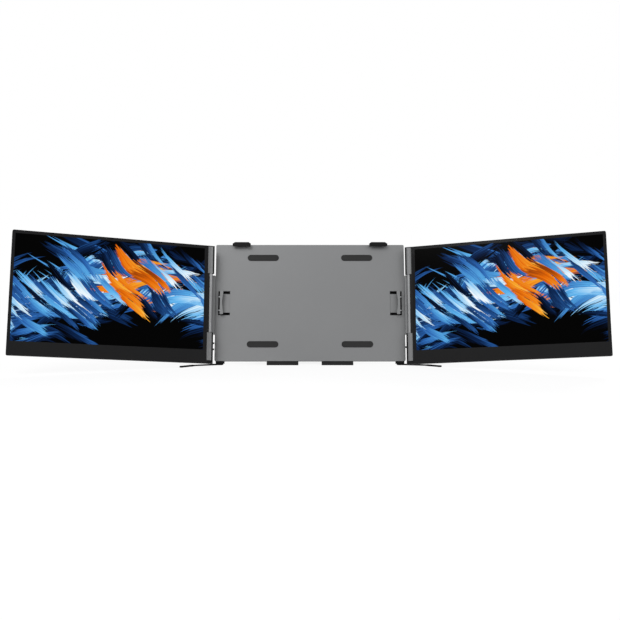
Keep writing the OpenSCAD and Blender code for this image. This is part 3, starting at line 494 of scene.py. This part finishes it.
def cover_glass():
    """Black border of a cover glass, with faint smears."""
    surface = Surface("cover_glass")
    handling = surface.effect("Handling", Mark_Scale=9.0, Marks=0.22, Dust=0.02)
    base = surface.blend(handling["Dust"], GLASS_BORDER, DUST_ON_GLASS)
    rough = surface.math("ADD", handling["Marks"], 0.1)
    return surface.set(Base_Color=base, Roughness=rough, Specular_IOR_Level=0.05)


def circuit_board():
    """Solder mask over copper tracks, with rows of gilt pads."""
    surface = Surface("circuit_board")
    place = surface.object_place()
    tracks = surface.add(
        "ShaderNodeTexBrick",
        {"Vector": place, "Scale": 130.0, "Mortar Size": 0.06, "Mortar Smooth": 0.1},
        offset=0.37,
    ).outputs["Fac"]
    blotch = surface.noise(place, scale=60.0, detail=3.0)
    mask = surface.ramp(blotch, [(0.3, MASK_DARK), (0.7, MASK_LIGHT)])
    dots = surface.add("ShaderNodeTexVoronoi", {"Vector": place, "Scale": 420.0, "Randomness": 0.3})
    pads = surface.math("LESS_THAN", dots.outputs["Distance"], PAD_RADIUS)
    tracked = surface.blend(tracks, mask, TRACK)
    base = surface.blend(surface.math("MULTIPLY", pads, PAD_STRENGTH), tracked, GILT_PAD)
    normal = surface.bump(tracks, 0.04 * MM, strength=0.5)
    return surface.set(Base_Color=base, Roughness=0.42, Metallic=pads, Normal=normal)


def layered_film(name, low, high, band_scale, roughness):
    """Sealed films and trays behind a picture, faintly banded between two shades."""
    surface = Surface(name)
    bands = surface.noise(surface.object_place(), band_scale)
    base = surface.ramp(bands, [(0.3, low), (0.7, high)])
    grain = surface.effect("Grain", Scale=1800.0, Slow_Scale=20.0)
    normal = surface.bump(grain["Height"], 0.02 * MM, strength=0.25)
    rough = surface.vary(grain["Variation"], by=0.1, around=roughness)
    return surface.set(Base_Color=base, Roughness=rough, Normal=normal)


def make_finishes(shades):
    """Every finish but the pictures', with the colours of the settings."""
    blasted_metal("anodised_grey", shades.grey, roughness=0.5, wear=0.35)
    # Lighter grey of the hinge arms: painted light that offsets their shade between the plate and the screens
    blasted_metal("painted_light_arm_grey", shades.painted_light_arm, roughness=0.5, wear=0.25)
    # Darker grey of the hinge trims: painted shade standing for the shading of their rounded faces
    blasted_metal("painted_shade_trim_grey", shades.trim, roughness=0.5, wear=0.25)
    blasted_metal("dark_anodised", shades.kickstand, roughness=0.45, wear=0.4)
    plastics = [
        # name, colour, roughness, texture depth in mm, specular, sheen, wear
        ("dark_moulding", shades.dark, 0.5, 0.03, 0.1, 0.0, 0.08),
        ("black_moulding", shades.black, 0.55, 0.05, 0.12, 0.0, 0.3),
        ("black_paint", shades.paint, 0.42, 0.03, 0.14, 0.0, 0.3),
        ("matt_paint", shades.paint, 0.7, 0.03, 0.02, 0.0, 0.1),
        ("rubber", shades.rubber, 0.8, 0.06, 0.2, 0.1, 0.3),
        ("matt_rubber", shades.rubber, 0.9, 0.06, 0.04, 0.0, 0.1),
        ("silicone", shades.rubber, 0.62, 0.02, 0.3, 0.05, 0.3),
    ]
    for name, shade, roughness, depth, specular, sheen, wear in plastics:
        moulded_plastic(name, shade, roughness, depth * MM, specular, sheen, wear)
    lined_metal("turned_steel", shades.steel, roughness=0.28)
    lined_metal("stamped_steel", shades.steel, roughness=0.38)
    cover_glass()
    circuit_board()
    films = [
        # name, darker shade, lighter shade, scale of the bands, roughness
        ("cell_film", (0.01, 0.01, 0.012), (0.02, 0.02, 0.024), 6.0, 0.2),
        ("backlight_tray", (0.55, 0.56, 0.56), (0.66, 0.67, 0.67), 8.0, 0.5),
        ("ribbon_film", (0.33, 0.14, 0.02), (0.48, 0.24, 0.05), 90.0, 0.3),
    ]
    for film in films:
        layered_film(*film)


def by_ending(table, node):
    """What a table says for the longest name ending that fits a node, or None."""
    endings = [ending for ending in table if node.endswith(ending)]
    return table[max(endings, key=len)] if endings else None


def finish_of(node):
    """The material of a node, made with all the others when the first one is asked for."""
    finish = by_ending(NODE_FINISHES, node)
    if finish is None:
        raise ValueError(f"{node} has no finish")
    if "finish_" + finish not in bpy.data.materials:
        make_finishes(bpy.context.scene.extender_finishes)
    return bpy.data.materials["finish_" + finish]


# ---- Pictures ----


class ShardLayer(NamedTuple):
    """One layer of long shards. Lengths are in picture heights, angles in radians."""

    angle: float  # turn of the shards
    stretch: float  # how many times longer than wide a shard is
    density: float  # shards along one picture height
    drift: float  # shift of the pattern, so that no two layers match
    gain: float  # brightness of the shards
    ember_reach: float  # distance from the ember's middle within which shards may be warm


SHARD_LAYERS = (
    ShardLayer(angle=-0.28, stretch=4.6, density=1.5, drift=1.7, gain=0.7, ember_reach=0.16),
    ShardLayer(angle=0.42, stretch=5.0, density=1.9, drift=5.3, gain=0.85, ember_reach=0.21),
    ShardLayer(angle=-0.72, stretch=5.4, density=2.3, drift=9.1, gain=0.95, ember_reach=0.25),
    ShardLayer(angle=-0.1, stretch=5.8, density=2.9, drift=3.9, gain=0.95, ember_reach=0.29),
    ShardLayer(angle=0.75, stretch=5.2, density=3.6, drift=7.7, gain=0.9, ember_reach=0.27),
)

# Width of a picture against its height, and the slow bend of all that it shows
PICTURE_SHAPE = 16 / 9
BEND = 0.42
# Drift across the shards against the drift along them
CROSS_DRIFT = 0.7
# Uneven ends of the shards: how far they reach, and the noise's scale along and across them
FRAY = 1.5
FRAY_SCALE = (0.12, 2.6, 1.0)
# Fibres along the shards: their scale along and across, their contrast, and how much lighter
# a shard grows along its length
FIBRE_SCALE = (0.5, 4.6, 1.0)
FIBRE_CONTRAST = 1.5
GROWING_LIGHT = 0.55
# Width of a shard's dark rim, in shard widths
RIM = 0.06
# Wave of the lit band across the picture, whose height is MIDDLE + RISE * sin(START + TURN * x)
WAVE_TURN, WAVE_START, WAVE_RISE, WAVE_MIDDLE = 2.5, -1.4, 0.16, 0.5
# Distance from the wave at which the light fades out, at which it is full, and its raggedness
BAND_EDGE, BAND_CORE, BAND_RAGGED = 0.44, 0.04, 0.36
# Light of the shards, and how much their streaks vary it
SHARD_LIGHT, STREAK_LIGHT = 1.2, 0.42
# A shard is shown when its strength and its own number add up to more than this
SHOWN_FROM = 1.06
# Middle of the ember, and how far past its reach shards are still warm
EMBER_MIDDLE = (1.12, 0.6, 0.0)
EMBER_MARGIN = 0.08
# Heat of the warm shards, and how much their streaks vary it
EMBER_HEAT, STREAK_HEAT = 0.56, 0.5


def shard_layer(net, place, layer):
    """One layer of shards: each one's numbers, its middle, its streaks and its rim."""
    shift = (layer.drift, layer.drift * CROSS_DRIFT, 0.0)
    scale = (layer.density, layer.density * layer.stretch, 1.0)
    scaled = net.vector("ADD", net.turn(place, layer.angle), shift)
    scaled = net.vector("MULTIPLY", scaled, scale)
    fray = net.vector("MULTIPLY", scaled, FRAY_SCALE)
    fray = net.noise(fray, scale=2.0, detail=3.0, roughness=0.6)
    fray = net.add("ShaderNodeCombineXYZ", {"X": net.vary(fray, by=FRAY, around=-FRAY / 2)})
    scaled = net.vector("ADD", scaled, fray.outputs[0])

    cells = {"Vector": scaled, "Scale": 1.0, "Randomness": 1.0}
    cell = net.add("ShaderNodeTexVoronoi", cells, voronoi_dimensions="2D")
    border = net.add(
        "ShaderNodeTexVoronoi", cells, voronoi_dimensions="2D", feature="DISTANCE_TO_EDGE"
    )
    number = net.add("ShaderNodeSeparateColor", {0: cell.outputs["Color"]}).outputs
    rim = net.smooth(border.outputs["Distance"], low=0.0, high=RIM)

    middle = net.vector("DIVIDE", cell.outputs["Position"], scale)
    middle = net.turn(net.vector("SUBTRACT", middle, shift), -layer.angle)

    fibres = net.vector("MULTIPLY", scaled, FIBRE_SCALE)
    fibres = net.noise(fibres, scale=2.4, detail=5.0, roughness=0.7)
    within = net.vector("SUBTRACT", scaled, cell.outputs["Position"])
    lean = net.vector("SUBTRACT", cell.outputs["Color"], NOISE_MEANS)
    slope = net.vector("DOT_PRODUCT", within, lean, "Value")
    slope = net.vary(net.parts(within)["X"], by=GROWING_LIGHT, around=slope)
    streaks = net.math("SUBTRACT", fibres, NOISE_MEAN)
    streaks = net.vary(streaks, by=FIBRE_CONTRAST, around=slope)
    return number, middle, streaks, rim


def shard_strength(net, middle):
    """How strongly a shard is lit, by its middle's distance from the sweeping band."""
    place = net.parts(middle)
    wave = net.math("SINE", net.vary(place["X"], by=WAVE_TURN, around=WAVE_START))
    off = net.math("SUBTRACT", place["Y"], net.vary(wave, by=WAVE_RISE, around=WAVE_MIDDLE))
    ragged = net.noise(middle, scale=3.5, detail=2.0)
    ragged = net.vary(ragged, by=BAND_RAGGED, around=-BAND_RAGGED / 2)
    off = net.math("ADD", net.math("ABSOLUTE", off), ragged)
    return net.smooth(off, low=BAND_EDGE, high=BAND_CORE)


def picture_material(colours):
    """Streaky shards of blue, white and orange on black, sweeping across the screen."""
    surface = Surface("lit_picture")
    uv = surface.add("ShaderNodeUVMap", uv_map="picture").outputs[0]
    place = surface.vector("MULTIPLY", uv, (PICTURE_SHAPE, 1.0, 1.0))
    bend = surface.noise(place, scale=1.1, detail=1.0, out="Color")
    bend = surface.vector("SUBTRACT", bend, NOISE_MEANS)
    place = surface.vector("ADD", place, surface.vector("SCALE", bend, BEND))
    blues = [
        (0.0, (0.0, 0.0, 0.0)),
        (0.18, colours.deep),
        (0.4, colours.middle),
        (0.68, colours.bright),
        (0.94, colours.pale),
        (1.0, (0.86, 0.94, 1.0)),
    ]
    embers = [
        (0.0, (0.06, 0.006, 0.0)),
        (0.3, (0.36, 0.06, 0.002)),
        (0.5, colours.warm),
        (0.85, colours.glow),
        (1.0, (1.0, 0.72, 0.3)),
    ]
    picture = BLACK
    for layer in SHARD_LAYERS:
        number, middle, streaks, rim = shard_layer(surface, place, layer)
        strength = shard_strength(surface, middle)
        lit = surface.math("MULTIPLY", strength, number["Red"])
        lit = surface.math("MULTIPLY", lit, SHARD_LIGHT * layer.gain)
        lit = surface.vary(streaks, by=STREAK_LIGHT, around=lit, clamp=True)
        away = surface.vector("DISTANCE", middle, EMBER_MIDDLE, "Value")
        near = surface.math("MULTIPLY", number["Blue"], layer.ember_reach)
        near = surface.math("SUBTRACT", near, away)
        warm = surface.math("GREATER_THAN", near, -EMBER_MARGIN)
        heat = surface.math("ADD", near, EMBER_HEAT)
        heat = surface.vary(streaks, by=STREAK_HEAT, around=heat, clamp=True)
        facet = surface.blend(warm, surface.ramp(lit, blues), surface.ramp(heat, embers))
        shown = surface.math("ADD", strength, number["Green"])
        shown = surface.math("GREATER_THAN", shown, SHOWN_FROM)
        picture = surface.blend(surface.math("MULTIPLY", shown, rim), picture, facet)
    surface.set(Base_Color=BLACK, Roughness=0.16, Specular_IOR_Level=0.02)
    return surface.set(Emission_Color=picture, Emission_Strength=1.0)


# ---- Pieces ----


def body_of_node(node):
    bodies = frame["record"]["behaviour"]["bodies"]
    return next(body for body, nodes in bodies.items() if node in nodes)


def link(name, data):
    """A new object in the scene."""
    thing = bpy.data.objects.new(name, data)
    bpy.context.scene.collection.objects.link(thing)
    return thing


def piece_of(shape, name):
    """A new object in the scene with a finished bmesh, which is freed."""
    mesh = bpy.data.meshes.new(name)
    shape.to_mesh(mesh)
    shape.free()
    return link(name, mesh)


def paint(piece, material):
    piece.data.materials.clear()
    piece.data.materials.append(material)


def smooth_faces(mesh, angle):
    for face in mesh.polygons:
        face.use_smooth = True
    mesh.set_sharp_from_angle(angle=angle)


def soften_edges(shape, width):
    """Bevels the sharp outer and inner edges of a shape."""
    sharp = [e for e in shape.edges if e.is_manifold and e.calc_face_angle() > SOFTEN_TURN]
    bmesh.ops.bevel(
        shape,
        geom=sharp,
        offset=width,
        offset_type="OFFSET",
        segments=2,
        profile=0.5,
        affect="EDGES",
        clamp_overlap=True,
        material=-1,
    )


def softened_copy(node, width):
    """A copy of a node with whole faces and softened edges, standing for the node."""
    shape = bmesh.new()
    shape.from_mesh(frame["nodes"][node].data)
    bmesh.ops.remove_doubles(shape, verts=shape.verts, dist=MERGE_GAP)
    bmesh.ops.dissolve_limit(shape, angle_limit=FLAT_TURN, verts=shape.verts, edges=shape.edges)
    if width > 0:
        soften_edges(shape, width * MM)
    piece = piece_of(shape, node + "_finish")
    smooth_faces(piece.data, SHARP_TURN_SOFTENED if width > 0 else SHARP_TURN_PLAIN)
    piece.modifiers.new("flat_faces", "WEIGHTED_NORMAL").keep_sharp = True
    paint(piece, finish_of(node))
    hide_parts(node)
    return piece


def dress(nodes):
    """Gives nodes their finish, through a softened copy where one is listed."""
    for node in nodes:
        paint(frame["nodes"][node], finish_of(node))
        width = by_ending(SOFT_EDGES, node)
        if width is not None:
            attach(softened_copy(node, width), body_of_node(node))


def dress_sides(pieces):
    """Gives the left and the right one of each piece its finish."""
    dress([f"{side}_{piece}" for side in SIDES for piece in pieces])


def sprung_coil(side):
    """Copy of a clip's return spring, with its placement baked into its vertices."""
    node = f"{side}_clip_spring"
    coil = softened_copy(node, 0)
    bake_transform(coil)


def joint(name):
    return next(j for j in frame["joints"] if j["name"] == name)


def screen_axes(side):
    """Outward, upward and backward directions of a side screen."""
    out = Vector(joint(f"{side}_power_press")["axis"])
    up = Vector(joint("left_screen_hinge")["axis"])
    back = up.cross(out) if side == "right" else out.cross(up)
    return out.normalized(), up.normalized(), back.normalized()


def reach(node, direction):
    """Least and greatest distance of a node along a direction."""
    along = [v.co.dot(direction) for v in frame["nodes"][node].data.vertices]
    return min(along), max(along)


def film_place(side, sizes):
    """Where a film's front face lies, as a matrix: just in front of the cover glass."""
    glass = f"{side}_screen_glass"
    out, up, back = screen_axes(side)
    edge = reach(glass, out)[1] - sizes.side_border
    top = reach(glass, up)[1] - sizes.top_border
    face = reach(glass, back)[0] - FILM_GAP
    place = Matrix((out, up, -back)).transposed().to_4x4()
    middle = out * (edge - sizes.width / 2) + up * (top - sizes.height / 2)
    place.translation = middle + back * face
    return place


def lay_picture(shape, side, sizes):
    """UV map over a flat film, from 0 to 1 from the viewer's left and from below."""
    uv = shape.loops.layers.uv.new("picture")
    for flat in shape.faces:
        for loop in flat.loops:
            across = loop.vert.co.x / sizes.width + 0.5
            if side == "left":
                across = 1 - across
            loop[uv].uv = (across, loop.vert.co.y / sizes.height + 0.5)


def picture_film(side, sizes, material):
    """A lit film in front of a side screen's cover glass."""
    shape = bmesh.new()
    bmesh.ops.create_grid(shape, x_segments=1, y_segments=1, size=0.5)
    bmesh.ops.scale(shape, vec=(sizes.width, sizes.height, 1), verts=shape.verts)
    lay_picture(shape, side, sizes)
    thick = bmesh.ops.extrude_face_region(shape, geom=shape.faces[:])
    moved = [g for g in thick["geom"] if isinstance(g, bmesh.types.BMVert)]
    bmesh.ops.translate(shape, vec=(0, 0, -FILM_T), verts=moved)
    bmesh.ops.transform(shape, matrix=film_place(side, sizes), verts=shape.verts)
    bmesh.ops.recalc_face_normals(shape, faces=shape.faces)
    piece = piece_of(shape, f"{side}_picture")
    paint(piece, material)
    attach(piece, f"{side}_screen")


# ---- Studio ----

FLOOR_HALF = 8.0
# Distances from the object between which the floor fades to the backdrop's white, and how
# much of that white it has near the object
FADE_START, FADE_END = 0.8, 3.2
FLOOR_WHITE = 0.87

# Point that the lights face
LIT_POINT = (0, 0, 0.12)
SENSOR_WIDTH = 36.0
FAR_CLIP = 100.0


def floor_material():
    """Pale floor that keeps the object's shadow and fades to the backdrop's white."""
    surface = Surface("studio_floor")
    surface.tree.nodes.remove(surface.shader)
    speck = surface.noise(surface.object_place(), scale=40.0)
    tone = surface.ramp(speck, [(0.0, (0.93, 0.93, 0.93)), (1.0, (0.97, 0.97, 0.97))])
    matt = surface.add("ShaderNodeBsdfDiffuse", {"Color": tone})
    white = surface.add("ShaderNodeEmission", {"Color": WHITE, "Strength": 1.0})
    away = surface.vector("LENGTH", surface.object_place(), out="Value")
    faded = surface.smooth(away, FADE_START, FADE_END, to_low=FLOOR_WHITE, to_high=1.0)
    share = surface.math("MULTIPLY", surface.seen_directly(), faded)
    mixed = surface.add("ShaderNodeMixShader", {0: share, 1: matt.outputs[0], 2: white.outputs[0]})
    surface.put(surface.output.inputs["Surface"], mixed.outputs[0])
    return surface.material


def add_floor():
    shape = bmesh.new()
    bmesh.ops.create_grid(shape, x_segments=1, y_segments=1, size=FLOOR_HALF)
    floor = piece_of(shape, "floor")
    paint(floor, floor_material())


def studio_world(ambient):
    """White backdrop, whose light on the object is set apart from how it is seen."""
    world = bpy.data.worlds.new("studio")
    bpy.context.scene.world = world
    world.use_nodes = True
    net = Net(world.node_tree)
    net.tree.nodes.clear()
    strength = net.vary(net.seen_directly(), by=1.0 - ambient, around=ambient)
    light = net.add("ShaderNodeBackground", {"Color": WHITE, "Strength": strength})
    net.put(net.add("ShaderNodeOutputWorld").inputs[0], light.outputs[0])


def soft_light(name, place, size, energy):
    """A rectangular lamp that faces the object."""
    lamp = bpy.data.lights.new(name, "AREA")
    lamp.shape = "RECTANGLE"
    lamp.size, lamp.size_y = size
    lamp.energy = energy
    light = link(name, lamp)
    light.location = place
    aim = Vector(LIT_POINT) - Vector(place)
    light.rotation_euler = aim.to_track_quat("-Z", "Y").to_euler()


def camera(studio):
    data = bpy.data.cameras.new("camera")
    data.lens = studio.lens
    data.sensor_width = SENSOR_WIDTH
    data.clip_end = FAR_CLIP
    view = link("camera", data)
    view.location = (0.0, -studio.distance, studio.height)
    view.rotation_euler = (math.pi / 2 - studio.pitch, 0.0, 0.0)
    bpy.context.scene.camera = view


# ---- Operators ----


class EXTENDER_OT_centre_frame(bpy.types.Operator):
    """Finish the centre frame, its hinge arms, pads, shafts and screws"""

    bl_idname = "extender.centre_frame"
    bl_label = "Centre frame"

    def execute(self, context):
        dress(["front_plate", "rear_cover", "lid_pads", "base_pads", "arm_screws", "cover_screws"])
        dress_sides(["hinge_arm", "hinge_shafts"])
        return {"FINISHED"}


class EXTENDER_OT_lid_grips(bpy.types.Operator):
    """Finish the side clips, the top hooks, their pads, rods and springs"""

    bl_idname = "extender.lid_grips"
    bl_label = "Lid grips"

    def execute(self, context):
        dress(["clip_rods"])
        dress_sides(["clip", "clip_pad", "clip_spring", "hook", "hook_pad"])
        for side in SIDES:
            sprung_coil(side)
        return {"FINISHED"}


class EXTENDER_OT_stand(bpy.types.Operator):
    """Finish the kickstand and the desk legs with their pins and feet"""

    bl_idname = "extender.stand"
    bl_label = "Stand"

    def execute(self, context):
        dress(["kickstand", "kickstand_foot", "kickstand_pins", "leg_pins"])
        dress_sides(["leg_mount", "leg", "leg_shoe"])
        return {"FINISHED"}


class EXTENDER_OT_side_screens(bpy.types.Operator):
    """Finish the side screens' shells, frames, trim, glass and buttons"""

    bl_idname = "extender.side_screens"
    bl_label = "Side screens"

    def execute(self, context):
        dress_sides(["rear_shell", "front_frame", "screen_glass", "hinge_trim", "power_button"])
        dress(["left_menu_button"])
        return {"FINISHED"}


class EXTENDER_OT_inner_parts(bpy.types.Operator):
    """Finish the panels, boards, brackets and sockets inside the side screens"""

    bl_idname = "extender.inner_parts"
    bl_label = "Inner parts"

    def execute(self, context):
        dress_sides(["lcd_cell", "backlight", "hinge_brackets", "bracket_screws"])
        dress_sides(["controller_board", "button_board", "ribbon_cables"])
        dress_sides(["usb_ports", "hdmi_port"])
        return {"FINISHED"}


class EXTENDER_OT_pictures(bpy.types.Operator):
    """Light a picture on each side screen"""

    bl_idname = "extender.pictures"
    bl_label = "Pictures"

    def execute(self, context):
        pictures = context.scene.extender_pictures
        material = picture_material(pictures)
        for side in SIDES:
            picture_film(side, pictures, material)
        return {"FINISHED"}


class EXTENDER_OT_stage(bpy.types.Operator):
    """Set up the floor, the world, the lights and the camera"""

    bl_idname = "extender.stage"
    bl_label = "Stage"

    def execute(self, context):
        studio = context.scene.extender_studio
        context.scene.view_settings.view_transform = "Standard"
        add_floor()
        studio_world(studio.ambient)
        soft_light("key", place=(-1.1, -1.5, 1.7), size=(1.2, 0.9), energy=studio.key)
        soft_light("fill", place=(1.5, -1.1, 1.1), size=(1.0, 0.9), energy=studio.fill)
        soft_light("back", place=(0.9, 1.5, 1.3), size=(1.2, 0.6), energy=studio.back)
        camera(studio)
        return {"FINISHED"}


class EXTENDER_PT_panel(bpy.types.Panel):
    """Lists the pieces of the extender and its settings"""

    bl_idname = "EXTENDER_PT_panel"
    bl_label = "Laptop Screen Extender"
    bl_space_type = "VIEW_3D"
    bl_region_type = "UI"
    bl_category = "Extender"

    def draw(self, context):
        for operator in OPERATORS:
            self.layout.operator(operator.bl_idname)
        for settings in (
            context.scene.extender_finishes,
            context.scene.extender_pictures,
            context.scene.extender_studio,
        ):
            box = self.layout.box()
            for name in settings.__annotations__:
                box.prop(settings, name)


OPERATORS = (
    EXTENDER_OT_centre_frame,
    EXTENDER_OT_lid_grips,
    EXTENDER_OT_stand,
    EXTENDER_OT_side_screens,
    EXTENDER_OT_inner_parts,
    EXTENDER_OT_pictures,
    EXTENDER_OT_stage,
)
SETTINGS = (ExtenderFinishes, ExtenderPictures, ExtenderStudio)


def register():
    for kind in (*SETTINGS, *OPERATORS, EXTENDER_PT_panel):
        bpy.utils.register_class(kind)
    bpy.types.Scene.extender_finishes = PointerProperty(type=ExtenderFinishes)
    bpy.types.Scene.extender_pictures = PointerProperty(type=ExtenderPictures)
    bpy.types.Scene.extender_studio = PointerProperty(type=ExtenderStudio)


def unregister():
    del bpy.types.Scene.extender_studio
    del bpy.types.Scene.extender_pictures
    del bpy.types.Scene.extender_finishes
    for kind in (EXTENDER_PT_panel, *reversed(OPERATORS), *reversed(SETTINGS)):
        bpy.utils.unregister_class(kind)


def main():
    register()
    for operator in OPERATORS:
        name = operator.bl_idname.split(".")[1]
        getattr(bpy.ops.extender, name)()


if __name__ == "__main__":
    main()
